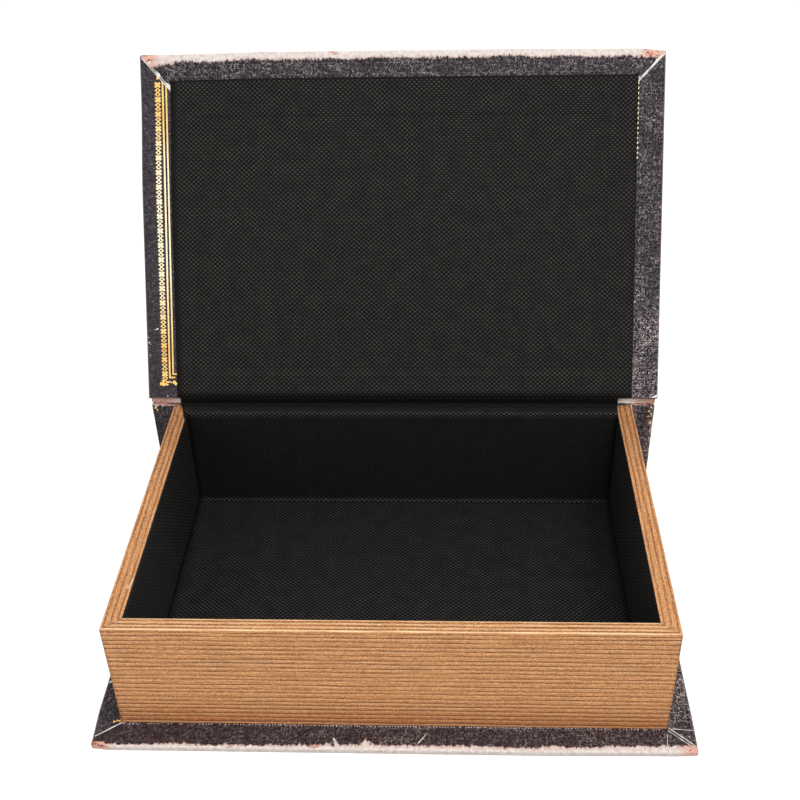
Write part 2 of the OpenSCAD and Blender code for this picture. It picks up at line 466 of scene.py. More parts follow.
def gilt_material():
    """Gold foil print, yellow at the ends of the lid's border and whitened in its middle by a painted
    highlight, rubbed through in small spots. The wear map makes the rosettes' hearts redder and
    dashes paler."""
    n, sheet, red, pale = printed_material("gilt_print")
    height = n.parts(sheet)[1]
    fine = n.noise(sheet, 1.6, 3.0, 0.7)
    color = n.ramp(n.noise(sheet, 0.09, 3.0, 0.6), 0.3, 0.7, (236, 184, 92), (252, 214, 126))
    # Painted highlight: the foil whitens in the middle of the lid's border.
    white = n.times(n.step(height, 20.0, 75.0), n.step(height, 155.0, 110.0, 0.0, 0.8))
    color = n.mix(white, color, (255, 244, 210))
    color = n.tint(color, fine, 0.60, 0.78, 0.6, (172, 120, 64))
    color = n.mix(n.times(red, 0.6), color, (226, 166, 122))
    color = n.mix(pale, color, (248, 236, 186))
    return n.finish(color, fine, (0.4, 0.6), fine, 0.2, 0.00005, metallic=0.1)


def object_place(n, stretch=(1.0, 1.0, 1.0)):
    return n.scaled(n.add("ShaderNodeTexCoord", None, 3), stretch)


def raw_edge_material():
    """Cut edge of the wrap: white paper core, greyed in places."""
    n = new_material("raw_paper_edge")
    patch = n.noise(object_place(n), 260.0, 3.0, 0.6)
    color = n.ramp(patch, 0.4, 0.65, (230, 227, 223), (182, 175, 173))
    return n.finish(color, patch, (0.7, 0.85), patch, 0.3, 0.0001)


def board_material(name, dark, light, scale):
    """Grey board and fibre board: short fibres and flecks."""
    n = new_material(name)
    at = object_place(n)
    fine = n.noise(at, scale, 5.0, 0.75)
    color = n.ramp(fine, 0.35, 0.65, dark, light)
    color = n.tint(color, n.noise(at, scale * 0.2, 3.0, 0.6), 0.55, 0.75, 0.4, dark)
    return n.finish(color, fine, (0.75, 0.95), fine, 0.4, 0.0002)


def steel_material():
    """Drawn steel wire, with fine lines along the pin."""
    n = new_material("pin_steel")
    line = n.noise(object_place(n, (1.0, 20.0, 20.0)), 300.0, 2.0, 0.5)
    color = n.mix(line, (170, 172, 176), (206, 208, 210))
    return n.finish(color, line, (0.25, 0.45), line, 0.1, 0.00002, metallic=1.0)


LEATHER = leather_material()
PAGES = page_material()
CLOTH = cloth_material()
GILT = gilt_material()
RAW = raw_edge_material()
GREY_BOARD = board_material("grey_board", (118, 112, 104), (160, 152, 140), 900.0)
FIBRE_BOARD = board_material("fibre_board", (150, 116, 80), (188, 152, 112), 1200.0)
STEEL = steel_material()


def finished(piece, body, slot, *nodes):
    """Says what a piece moves with and which CAD nodes it is shown for; the slot, what it is made of, is not
    used.
    """
    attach(piece, body)
    if nodes:
        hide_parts(*nodes)


# A cover's wrap

SIDE_STEPS = 60
FRONT_STEPS = 90
ARC_STEPS = 4
TURN_STEPS = 12
WIDE_POINTS = 61
QUARTER = [radians(90.0 * k / ARC_STEPS) for k in range(ARC_STEPS + 1)]


class Cover:
    """Sizes of a cover, its place in the box, and where its left and right mitres start."""

    def __init__(self, half, depth, place, rounded_rear, mitres):
        self.half, self.depth, self.place = half, depth, place
        self.rounded_rear, self.mitres = rounded_rear, mitres
        self.window = (half - TURN_SIDE, depth - TURN_FRONT)


BASE = Cover(135.0, 180.0, on_base, True, ((-134.2, 175.5), (134.2, 176.9)))
LID = Cover(135.75, 180.25, on_lid, False, ((-134.95, 179.45), (134.95, 177.85)))


def edge_rows(rounded_rear, depth):
    """Rows of a wrap from its outer face round the edge: inset at the sides, at the rear, and
    height, on the surface that lies depth inside the sheet."""
    def rear(inset):
        return inset if rounded_rear else depth

    r = EDGE_R - depth
    rows = [(inset, rear(inset), depth) for inset in (OUTER_BAND, 7.0, 4.0, 2.0, 1.2)]
    for a in QUARTER:
        inset = EDGE_R - r * sin(a)
        rows.append((inset, rear(inset), EDGE_R - r * cos(a)))
    rows.append((depth, depth, COVER_T / 2))
    for a in QUARTER:
        inset = EDGE_R - r * cos(a)
        rows.append((inset, depth if rounded_rear else inset, COVER_T - EDGE_R + r * sin(a)))
    return rows


def cover_outline(cover, side, front, start, mitres):
    """One row of a cover in plan as x and v, from the rear left corner round the front to the
    rear right one, with the places where its left and right mitres are."""
    bend, near = max(EDGE_R - side, 0.0), cover.half - max(side, EDGE_R)
    top = cover.depth - max(front, EDGE_R)
    sides, ends, cuts = [], [], []
    for sign, (x, v) in zip((-1, 1), mitres):
        on_side = abs(x) >= cover.half - EDGE_R - side
        line = np.linspace(start, min(v, top) if on_side else top, SIDE_STEPS + 1)
        points = [(sign * (cover.half - side), at) for at in line]
        points += [(sign * (near + bend * cos(a)), top + bend * sin(a)) for a in QUARTER]
        sides.append(points)
        ends.append(sign * (near if on_side else min(abs(x), near)))
        cuts.append(SIDE_STEPS if on_side else len(points))
    fore = [(x, cover.depth - front) for x in np.linspace(*ends, FRONT_STEPS + 1)]
    points = sides[0] + fore + sides[1][::-1]
    return np.array(points), cuts[0], len(points) - 1 - cuts[1]


def cover_rows(cover, depth):
    """All rows of a wrap: insets at the sides, front and rear, height, and the mitres' places."""
    edges = edge_rows(cover.rounded_rear, depth)
    rows = [(side, side, rear, height, cover.mitres) for side, rear, height in edges]
    inner_rear = depth if cover.rounded_rear else EDGE_R
    x, v = cover.window
    for k in range(1, TURN_STEPS + 1):
        u = k / TURN_STEPS
        side = EDGE_R + (TURN_SIDE - EDGE_R) * u
        front = EDGE_R + (TURN_FRONT - EDGE_R) * u
        ends = [(m[0] + (copysign(x, m[0]) - m[0]) * u, m[1] + (v - m[1]) * u) for m in cover.mitres]
        rows.append((side, front, inner_rear, COVER_T - depth, ends))
    return rows


def rear_line(cover, rows):
    """The rows' straight part at the rear, from right to left."""
    across = np.linspace(1.0, -1.0, FRONT_STEPS + 1)
    return np.array([together((cover.half - row[0]) * across, row[2]) for row in rows])


def cover_wrap(name, cover, paint):
    """Wrap of a cover: outer face, rounded edges and turn-ins that meet at the mitres."""
    place = cover.place
    edge = len(edge_rows(cover.rounded_rear, 0.0))
    lines, heights, rears = [], [], []
    for depth in (0.0, WRAP_T):
        rows = cover_rows(cover, depth)
        found = [cover_outline(cover, row[0], row[1], row[2], row[4]) for row in rows]
        lines.append(np.array([f[0] for f in found]))
        heights.append(np.array([row[3] for row in rows]))
        rears.append(rear_line(cover, rows[:edge]))
        if depth == 0.0:
            run = run_along([(row[0], row[3]) for row in rows]) - rows[0][0]
            first, last = found[0][1:]
    spans = {"left": slice(0, first + 1), "front": slice(first, last + 1), "right": slice(last, None)}
    parts = {part: [line[:, span] for line in lines] for part, span in spans.items()}
    parts["rear"] = rears
    shape = Shape()
    for part, (front, back) in parts.items():
        n = len(front)
        w, w_back, along = (a[:n, None] * np.ones(front.shape[1]) for a in (*heights, run))
        x, v = front[..., 0], front[..., 1]
        behind = place(back[..., 0], back[..., 1], w_back)
        shape.grid(place(x, v, w), paint(part, x, v, w, along), True, behind)
    rings = [np.vstack([line[0], rear[0][1:-1]]) for line, rear in zip(lines, rears)]
    keep = [k for k in range(len(rings[0])) if np.hypot(*(rings[0][k] - rings[0][k - 1])) > 0.01]
    front, back = (ring[keep] for ring in rings)
    zero = np.zeros(len(front))
    values = paint("outer", *front.T, zero, zero - OUTER_BAND)
    shape.face(place(*front.T, 0.0), values, True, place(*back.T, WRAP_T))
    return shape.make(name, LEATHER, crisp=40.0)


NO_WEAR, NO_RUST = 8.0, 60.0


def cover_sheet(cover, part, x, v, run):
    """Place on the flat sheet, so that the print runs on round an edge."""
    if part in ("left", "right"):
        return np.where(run > -OUTER_BAND, (-1.0 if part == "left" else 1.0) * (cover.half + run), x), v
    if part == "front":
        return x, cover.depth + run
    if part == "rear":
        return x, -run
    return x, v


def wear_line(w, run, turned_in, at_edge, past_edge):
    """Distance from the line where the wear ends: on the turn-in, round the cover's edge, and
    on the outer face, where the wear goes past_edge far."""
    inner = (w > COVER_T - 0.01) & (run > 0)
    return np.where(run < 0, -run - past_edge, np.where(inner, turned_in, at_edge))


def paint_base(part, x, v, w, run):
    """Back cover: pale worn front edge with a stain in it, scuffed right margin, dark left one."""
    from_side = BASE.half - np.abs(x)
    edge, along = wear_line(w, run, 1.8 + from_side, 1.2, 2.6), NO_RUST
    scuff, even = 0.4, -0.3
    if part in ("front", "outer"):
        scuff, even = 0.26 + 0.2 * smooth(x, -110.0, 10.0), -1.0
    if part == "front":
        stain = np.exp(-((x + 11.0) ** 2) / 6.0 - (v - 174.8) ** 2 / 10.0)
        wide = 1.5 + 1.1 * smooth(x, -60.0, 0.0) + 0.8 * smooth(x, 90.0, 125.0)
        edge = wear_line(w, run, BASE.depth - v - wide - 4.4 * stain, -4.0, 4.0)
        along = np.minimum(from_side + 2.0 * (x > 0), 40.0) * (1.0 - stain) + 6.0 * stain
    elif part == "outer":
        edge = NO_WEAR
    elif part == "right":
        scuff, even = 0.7 + 0.9 * smooth(-v, -168.0, -145.0), -0.5
    return together(*cover_sheet(BASE, part, x, v, run), edge, along, scuff, even)


def paint_lid(part, x, v, w, run):
    """Lid: pale worn fore edge with rust at its corners, right turn-in scuffed more towards the
    spine, left one dark and quiet."""
    from_side = LID.half - np.abs(x)
    edge, along = wear_line(w, run, 2.2 + from_side, 1.4, 2.6), NO_RUST
    scuff, even = 0.5, 0.0
    if part == "front":
        edge = wear_line(w, run, LID.depth - v - 3.8 - 2.4 * smooth(-x, 112.0, 130.0), -4.0, 4.0)
        along = np.minimum(from_side - 3.0 * (x > 0), 40.0)
    elif part == "outer":
        edge = NO_WEAR
    elif part == "right":
        edge = wear_line(w, run, np.minimum(2.2 + from_side, 1.6 + v), 1.4, 2.6)
        scuff = 0.52 + 0.6 * smooth(-v, -80.0, -10.0)
    elif part == "left":
        scuff, even = 0.2, 0.8
    return together(*cover_sheet(LID, part, x, v, run), edge, along, scuff, even)


def make_covers():
    finished(cover_wrap("base_cover_wrap", BASE, paint_base), "case", "cover_wrap", "base_wrap")
    finished(cover_wrap("lid_cover_wrap", LID, paint_lid), "lid", "cover_wrap", "lid_wrap")


# The spine's wrap and the fold

SPINE_CHAMFER = 0.5


def spine_outline(inset, depth):
    """The spine's wrap in plan, from the left turn-in's end round the back to the right one's,
    chamfered by inset, on the surface that lies depth inside the sheet."""
    r, out = EDGE_R - depth, max(EDGE_R - depth - inset, 0.01)
    x0, y0, y1 = -SPINE_HALF + EDGE_R, SPINE_Y + EDGE_R, BACK_Y - EDGE_R
    left = [(x, y0 - out) for x in np.linspace(-BASE.window[0], x0, 12)]
    left += [(x0 - out * sin(a), y0 - out * cos(a)) for a in QUARTER[1:]]
    left += [(x0 - out, y1)]
    cap = len(left)
    left += [(x0 - out * cos(a), y1 + r * sin(a)) for a in QUARTER[1:]]
    back = [(x, BACK_Y - depth) for x in np.linspace(x0, -x0, FRONT_STEPS + 1)]
    right = [(-x, y) for x, y in left[::-1]]
    return np.array(left + back[1:-1] + right), cap


def spine_levels(depth):
    """Chamfer and height of each row of the spine's wrap."""
    low = [(0.0, z) for z in np.linspace(COVER_T, SPINE_TOP - SPINE_CHAMFER, 24)]
    high = [(SPINE_CHAMFER * (1 - cos(a)),
             min(SPINE_TOP - SPINE_CHAMFER * (1 - sin(a)), SPINE_TOP - depth)) for a in QUARTER[1:]]
    return low + high


def make_spine():
    sides = []
    for depth in (0.0, WRAP_T):
        rows = []
        for inset, z in spine_levels(depth):
            line, cap = spine_outline(inset, depth)
            rows.append(together(*line.T, z))
        sides.append(np.array(rows))
    rows, backs = sides
    length = run_along(rows[0, :, :2])
    length = np.ones(len(rows))[:, None] * (length - length[-1] / 2)
    shape = Shape()
    shape.grid(rows, paint_spine(*(rows[..., k] for k in range(3)), length), False, backs)
    for side in (-1, 1):
        rings = []
        for grid, z in ((rows, SPINE_TOP), (backs, SPINE_TOP - WRAP_T)):
            line = grid[-1][:cap] if side < 0 else grid[-1][-cap:][::-1]
            rings.append(np.vstack([line, [[side * BASE.window[0], BACK_Y - EDGE_R, z]]]))
        x, y = rings[0].T[:2]
        values = together(x, 3.0 * y, 0.1, 0.3 * np.abs(np.abs(x) - 133.0) + 2.0, 0.2, 0.4)
        shape.face(rings[0], values, side > 0, rings[1])
    piece = shape.make("spine_cover_wrap", LEATHER, crisp=40.0)
    finished(piece, "case", "cover_wrap", "spine_wrap")


def paint_spine(x, y, z, length):
    """Spine: dark turn-ins, ragged pale wear down the ends and along the back's edges."""
    back = y > BACK_Y - 0.01
    at_end = SPINE_HALF - np.abs(x)
    right = x > 0
    edge = np.where(back, np.minimum(at_end - 2.2, np.minimum(z - 1.8, 66.0 - z)), 6.0)
    edge = np.where(~back & right, at_end - 0.2, edge)
    edge = np.where(~back & ~right, 1.3 * (SPINE_TOP - z) - 0.6, edge)
    edge = np.where(~back & (at_end < 0.3) & (y > SPINE_Y + EDGE_R - 0.01), -0.6, edge)
    scuff = np.where(back, 0.6, np.where(right, 0.9, 0.4))
    return together(length, z, edge, 40.0, 0.9 * scuff, -0.3)


def fold_section():
    """The fold in section from the spine up to the lid: points of its outer face, of its inner
    face and of the inner face of the turned-in ends, as y and z."""
    outer = [(89.8, 62.5), (89.97, 62.8)] + [(BACK_Y, z) for z in (63.2, 63.6, 63.9, 64.1, 64.6, 65.2, 65.8)]
    outer += [(89.96, 66.3), (89.86, 66.8), (89.72, 67.2), (89.66, 67.6)]
    outer += [tuple(on_lid(0.0, v, w)[1:]) for v, w in ((1.6, -0.08), (2.2, -0.02), (2.8, 0.2))]
    outer = np.array(outer)
    ahead = np.gradient(outer, axis=0)
    normal = np.stack([ahead[:, 1], -ahead[:, 0]], -1) / np.hypot(*ahead.T)[:, None]
    single = np.minimum(1.0, 0.5 + 0.1 * np.arange(len(outer))[::-1])
    inner = outer - normal * WRAP_T * np.clip(single, 0.5, 1.0)[:, None]
    return outer, inner, np.where(outer[:, 1:] < 64.0, outer - normal * 2 * WRAP_T, inner)


def paint_fold(ring, wide):
    """Marks of one row: worn pale inside, whitened further by painted light against the shade under the lid,
    with rust near the ends, and dark leather outside.
    """
    x, z = ring[:, 0], ring[:, 2]
    inside = np.arange(len(ring)) >= wide
    edge = np.where(inside, 2.0 * np.maximum(z - 66.2, 62.4 - z), np.abs(z - HINGE_Z) - 2.0)
    rusty = np.where(x > 0, 0.8 * np.abs(x - 133.0) + 2.0, 0.6 * np.abs(x + 131.0) + 3.0)
    # The last mark of 1.9 inside whitens the worn paper with painted light.
    return together(x, np.where(inside, 300.0 + 2.0 * z, z), edge, rusty, 0.2, np.where(inside, 1.9, 0.4))


def make_fold():
    """The wrap's strip between spine and lid."""
    half, window = SPINE_HALF - WRAP_T, BASE.window[0]
    wide = np.linspace(-half, half, WIDE_POINTS)
    end = np.array([x for x in wide if x > window + 0.5])
    middle = np.linspace(window - 0.5, -window + 0.5, 9)
    inside = np.concatenate([end[::-1], [window], middle, [-window], -end])
    doubled = np.abs(inside) > window - 0.1
    rows, values = [], []
    for outer, single, double in zip(*fold_section()):
        section = np.where(doubled, double[:, None], single[:, None])
        ring = np.vstack([together(wide, *outer), together(inside, *section)])
        ring[:, 0] *= 1.0 + 0.005 * smooth(outer[1], 63.2, 64.0)
        rows.append(ring)
        values.append(paint_fold(ring, len(wide)))
    rows, values = np.array(rows), np.array(values)
    shape = Shape()
    shape.grid(np.concatenate([rows, rows[:, :1]], 1), np.concatenate([values, values[:, -1:]], 1), flip=True)
    shape.face(rows[0], values[0])
    shape.face(rows[-1], values[-1], flip=True)
    piece = shape.make("cover_fold", LEATHER, crisp=50.0)
    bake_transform(piece)


# Page-edge paper

GROOVES = 22
STRIP_POINTS = 121
PAGE_R = 0.8
FACE_TOP = RIM_TOP - PAGE_R
RIM_RUN = FACE_TOP + PAGE_R * pi / 2
FRONT_RIM, SIDE_RIM = RIM_Y - TRAY_Y, TRAY_X - RIM_X
RIM_GROOVES = (0.17, 0.49, 0.815)
# Places across the rim and strengths of the painted highlights along its ridges.
RIDGE_HIGHLIGHTS = ((0.04, 1.15), (0.33, 0.7), (0.65, 0.7), (0.96, 0.85))


class Pages:
    """Grooves of one strip of page-edge paper, as a depth over height and length. The places
    of the grooves are the same on every strip, so that they run on round the corners."""

    def __init__(self, seed, rim):
        pick = random.Random(3)
        face = [5.0 + 57.0 * (k + pick.uniform(-0.12, 0.12)) / (GROOVES - 1) for k in range(GROOVES)]
        self.lines = [(s, pick.uniform(0.18, 0.26), pick.uniform(0.28, 0.42)) for s in face]
        deep = 0.18 if rim > FRONT_RIM + 0.1 else 0.24
        self.lines += [(RIM_RUN - PAGE_R + share * rim, deep, 0.36) for share in RIM_GROOVES]
        pick = random.Random(seed)
        self.waves = [[(pick.uniform(0.02, 0.12), pick.uniform(0, 6.28), pick.uniform(0.4, 1.0))
                       for _ in range(4)] for _ in self.lines]

    def depth(self, s, t):
        """Depth of the grooves in mm at run s up the strip and place t along it."""
        total = np.zeros(np.broadcast(s, t).shape)
        for (centre, deep, width), waves in zip(self.lines, self.waves):
            sway = sum(a * np.sin(f * t + p) for f, p, a in waves) * 0.11
            fade = sum(a * np.sin(1.7 * f * t + 2 * p) for f, p, a in waves)
            strength = np.clip(0.82 + 0.16 * fade, 0.4, 1.0)
            total = np.maximum(total, deep * strength * np.exp(-(((s - centre - sway) / width) ** 2)))
        return total


def page_profile(rim):
    """Section of the page paper, foot to inner edge: distance in from the face, height, run."""
    steps = [(0.0, z, z) for z in np.arange(COVER_T, FACE_TOP, 0.25)]
    for k in range(7):
        a = radians(90.0 * k / 6)
        steps.append((PAGE_R * (1 - cos(a)), FACE_TOP + PAGE_R * sin(a), FACE_TOP + PAGE_R * a))
    flat = np.arange(PAGE_R + 0.28, rim - 0.25, 0.28)
    steps += [(d, RIM_TOP, RIM_RUN + d - PAGE_R) for d in flat]
    steps += [(rim - 0.15, RIM_TOP - 0.03, RIM_RUN + rim - PAGE_R - 0.15),
              (rim, RIM_TOP - 0.15, RIM_RUN + rim - PAGE_R + 0.05),
              (rim, RIM_TOP - PAGE_T, RIM_RUN + rim - PAGE_R + 0.3)]
    return np.array(steps)


def from_line(d, t, start, end):
    """Distance of points from a straight line between two places."""
    (d0, t0), (d1, t1) = start, end
    share = np.clip(((d - d0) * (d1 - d0) + (t - t0) * (t1 - t0)) / ((d1 - d0) ** 2 + (t1 - t0) ** 2), 0, 1)
    return np.hypot(d - d0 - share * (d1 - d0), t - t0 - share * (t1 - t0))


def page_strip(name, seed, rim, ends, place, nick=None):
    """One strip: ends(d) gives where it starts and stops at a distance d in from the face."""
    profile = page_profile(rim)
    d, z, s = profile.T[:, :, None]
    low, high = ends(d)
    t = low + (high - low) * np.linspace(0.0, 1.0, STRIP_POINTS)
    pages = Pages(seed, rim)
    depth = pages.depth(s + 0.0 * t, t)
    # Painted highlights just below the grooves.
    glint = 1.3 * pages.depth(s + 0.7 + 0.0 * t, t) * (z < FACE_TOP)
    # The grooves' painted shade grows towards the foot.
    foot = 1.0 + 0.5 * smooth(-z, -18.0, -4.0)
    along_d, along_z = np.gradient(profile[:, :2], axis=0).T
    size = np.hypot(along_d, along_z)
    in_d, in_z = (along_z / size)[:, None], (-along_d / size)[:, None]
    depth = depth * (d < rim - 0.3)
    in_rim = s - RIM_RUN + PAGE_R
    # Painted highlights along the rim's ridges, fainter on the side rims.
    light = sum(level * np.exp(-(((in_rim - share * rim) / 0.4) ** 2)) for share, level in RIDGE_HIGHLIGHTS)
    at_side = rim > FRONT_RIM + 0.1
    light = light * (0.7 + 0.3 * np.sin(0.21 * t + 3.0 * s) * np.sin(0.047 * t + seed))
    light = light * (0.3 if at_side else 1.0)
    # Painted shade on the rim tops, growing towards the hinge on the side rims.
    rim_shade = (0.05 + 0.42 * smooth(t, 0.0, 75.0) * at_side) * (z > FACE_TOP)
    if nick:
        found = np.exp(-((from_line(d, t, *nick) / 0.4) ** 2)) * (z > FACE_TOP)
        depth, light = depth + 0.15 * found, light + found
    painted_shade, light = np.clip(depth / 0.2 * foot + rim_shade, 0, 1), np.clip(light + glint, 0, 1)
    shape = Shape()
    shape.grid(place(d + in_d * depth, t, z + in_z * depth), together(t, s, painted_shade, light, 0.0, 0.0))
    return shape.make(name, PAGES)


def make_pages():
    corner = SIDE_RIM / FRONT_RIM

    def front_ends(d):
        return d * corner - TRAY_X, TRAY_X - d * corner

    def side_ends(d):
        return TRAY_Y + d / corner, SPINE_Y + 0 * d

    front = page_strip("page_edges_front", 5, FRONT_RIM, front_ends,
                       lambda d, t, z: together(t, TRAY_Y + d, z))
    left = page_strip("page_edges_left", 11, SIDE_RIM, side_ends,
                      lambda d, t, z: together(d - TRAY_X, t, z), ((6.6, -52.5), (8.3, -46.5)))
    left.data.flip_normals()
    right = page_strip("page_edges_right", 17, SIDE_RIM, side_ends,
                       lambda d, t, z: together(TRAY_X - d, t, z))
    for side, piece in (("front", front), ("left", left), ("right", right)):
        finished(thicken(piece, PAGE_SHOWN_T), "case", "page_paper", "page_strip_" + side)


# Cloth

TURN_IN_Y = BACK_Y - BASE.window[1]


def lining(name, body, node, surface, us, vs, look, turned=False):
    """A sheet of cloth: surface(u, v) gives points, and u and v are lengths on the flat cloth.
    look(u, v) gives the strength of its dots and a painted shade that darkens it, or below 0
    painted light that lightens it."""
    u, v = np.meshgrid(us, vs)
    shape = Shape()
    shape.grid(surface(u, v), together(u, v, *look(u, v), 0.0, 0.0), flip=turned)
    piece = thicken(shape.make(name, CLOTH), LINING_T)
    finished(piece, body, "lining_cloth", node)


def spaced(low, high, step, *extra):
    line = np.linspace(low, high, max(2, int(round((high - low) / step)) + 1))
    return np.unique(np.round(np.concatenate([line, [e for e in extra if low < e < high]]), 4))


def round_step(place):
    """Places close to a step in what lies below a cloth, where the cloth needs more points."""
    return [place + d for d in (-1.2, -0.8, -0.4, 0.0, 0.4)]


def floor_surface(x, y):
    """The floor's cloth sinks between the turn-ins."""
    half, far = BASE.window[0], TURN_IN_Y
    step = np.maximum(smooth(np.abs(x), half - 1.0, half + 0.6), smooth(-y, -far - 1.0, -far + 0.6))
    return together(x, y, FLOOR_Z - LINING_T * (1.0 - step))


def lid_cloth_surface(x, v):
    half, far = LID.window
    step = np.maximum(smooth(np.abs(x), half - 1.2, half + 0.4), smooth(v, far - 1.2, far + 0.4))
    step = np.maximum(step, 1.0 - smooth(v, STRIP_LID - 0.4, STRIP_LID + 1.2))
    return on_lid(x, v, COVER_T + LINING_T * step)


def lid_cloth_look(x, v):
    x0, x1, v0, v1 = LID_CLOTH
    return smooth(x - x0, 1.6, 4.0) * smooth(v1 - v, 0.4, 1.6) * smooth(v - v0, 0.5, 2.0), 0.0


def make_linings():
    steps = [side * p for p in round_step(BASE.window[0]) for side in (-1, 1)]
    depth = spaced(RIM_Y - 0.4, REAR_Y, 3.0, *round_step(TURN_IN_Y))
    high = spaced(FLOOR_Z, SPINE_TOP, 3.0)
    wide = spaced(-RIM_X, RIM_X, 4.0)
    # Painted shade: the floor's cloth darkens and its dots weaken towards the rear wall.
    lining("tray_floor_cloth", "case", "floor_lining", floor_surface,
           spaced(-RIM_X - 0.4, RIM_X + 0.4, 4.0, *steps), depth,
           lambda x, y: (1.3 - 0.3 * smooth(y, -40.0, 70.0), 0.25 * smooth(y, -40.0, 70.0)))
    lining("tray_front_cloth", "case", "front_lining",
           lambda x, z: together(x, RIM_Y, z), wide, high, lambda x, z: (0.4, 0.2), True)
    # Painted light lifts the side walls' shaded cloth through stronger dots and a darkness below 0, and
    # painted shade darkens it again towards the rear.
    for side, x, dots, light, rear in (("left", -RIM_X, 0.7, 0.7, 0.45), ("right", RIM_X, 0.5, 0.5, 0.3)):
        lining("tray_%s_cloth" % side, "case", side + "_lining",
               lambda y, z: together(x, y, z), depth, high,
               lambda y, z: (dots, rear * smooth(y, -30.0, 70.0) - light), x > 0)
    x0, x1, v0, v1 = LID_CLOTH
    us = spaced(x0, x1, 4.0, *(side * p for p in round_step(LID.window[0]) for side in (-1, 1)),
                x0 + 1.6, x0 + 2.8)
    vs = spaced(v0, v1, 4.0, *round_step(STRIP_LID + 0.8), *round_step(LID.window[1]), v1 - 1.6, v1 - 0.4)
    lining("lid_cloth", "lid", "lid_lining", lid_cloth_surface, us, vs,
           lid_cloth_look)


CLOTH_TOP = RIM_TOP + 0.2
STRIP_BEND = 0.9
STRIP_COLUMNS = 81


def strip_path():
    """Shown face of the hinge strip in section, as y and z, from the lid down to the floor."""
    path = [on_lid(0.0, v, COVER_T)[1:] for v in (STRIP_LID, 10.0, 6.0, 3.0)]
    path += [on_lid(0.0, v, w)[1:] for v, w in ((1.2, 3.25), (0.5, 3.4), (0.05, 3.4), (-0.15, 3.2))]
    path += [(85.95, 67.4), (86.05, 66.7), (86.2, 66.0), (86.3, 65.4), (86.25, 64.9), (86.0, 64.4)]
    path += [(85.6, 64.05), (85.0, CLOTH_TOP + 0.05)]
    path += [(y, CLOTH_TOP) for y in (84.2, 83.0, 81.8, 80.8)]
    front, r = REAR_Y - LINING_T, STRIP_BEND
    path += [(front + r - r * sin(a), CLOTH_TOP - r + r * cos(a)) for a in QUARTER]
    path += [(front, z) for z in np.linspace(60.0, 6.0, 19)]
    path += [(front - r + r * cos(a), FLOOR_Z + r - r * sin(a)) for a in QUARTER]
    return np.array(path)


def strip_ends(y, z):
    """Where the hinge strip ends at the left and right: cut at a slant over the side rims."""
    if z > 67.0 and y > 86.5:
        return -LID.window[0], LID.window[0]
    if z > RIM_TOP:
        return -119.3 + 0.33 * min(88.0 - y, 9.0), 115.1 - 0.07 * (88.0 - y)
    return (-RIM_X - 0.6, RIM_X + 0.2) if z > SPINE_TOP else (-RIM_X - 0.2, RIM_X + 0.2)


def make_hinge_cloth():
    """One cloth from under the lid's lining, over the spine and the rear rim, down to the floor."""
    path = strip_path()
    run = run_along(path)[:, None]
    y, z = path[:, :1], path[:, 1:]
    ends = np.array([strip_ends(*point) for point in path])
    x = ends[:, :1] + (ends[:, 1:] - ends[:, :1]) * np.linspace(0.0, 1.0, STRIP_COLUMNS)
    # Painted shade: the cloth is darker where it dips into the crease by the lid, towards the rear of the rim
    # top and down the rear wall, where its dots are weaker too. Painted highlight: along the rim's inner edge
    # and at the foot the dots are stronger and the shade is lifted.
    on_wall = smooth(-z, -62.6, -60.5)
    dots = 0.55 - 0.15 * on_wall + 0.0 * x
    dark = np.where(z > CLOTH_TOP + 0.02, 0.75, 0.35 * smooth(y, 80.0, 87.0) + 0.15 * on_wall) + 0.0 * x
    edge = np.exp(-(((y - 79.3) / 0.8) ** 2)) * (z > 62.4) + 1.0 - smooth(z, 4.0, 5.6)
    look = together(x, run, dots + 1.7 * edge, dark * (1.0 - edge), 0.0, 0.0)
    shape = Shape()
    shape.grid(together(x, y, z), look, flip=True)
    corner = [(-116.6, 79.6), (-114.4, 79.6), (-114.4, 72.4)]
    shape.face([(*at, CLOTH_TOP) for at in corner], [(*at, 0.4, 0.3, 0.0, 0.0) for at in corner], True)
    piece = thicken(shape.make("hinge_cloth", CLOTH), STRIP_T)
    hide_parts("hinge_strip", "hinge_strip_lid")
    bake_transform(piece)


# Gilt print and raw edges

PROUD = 0.05
RAW_PROUD = 0.09
TRAY_RAW_PROUD = 0.06
FLECKS = 182
FLECK_STEP = 1.32


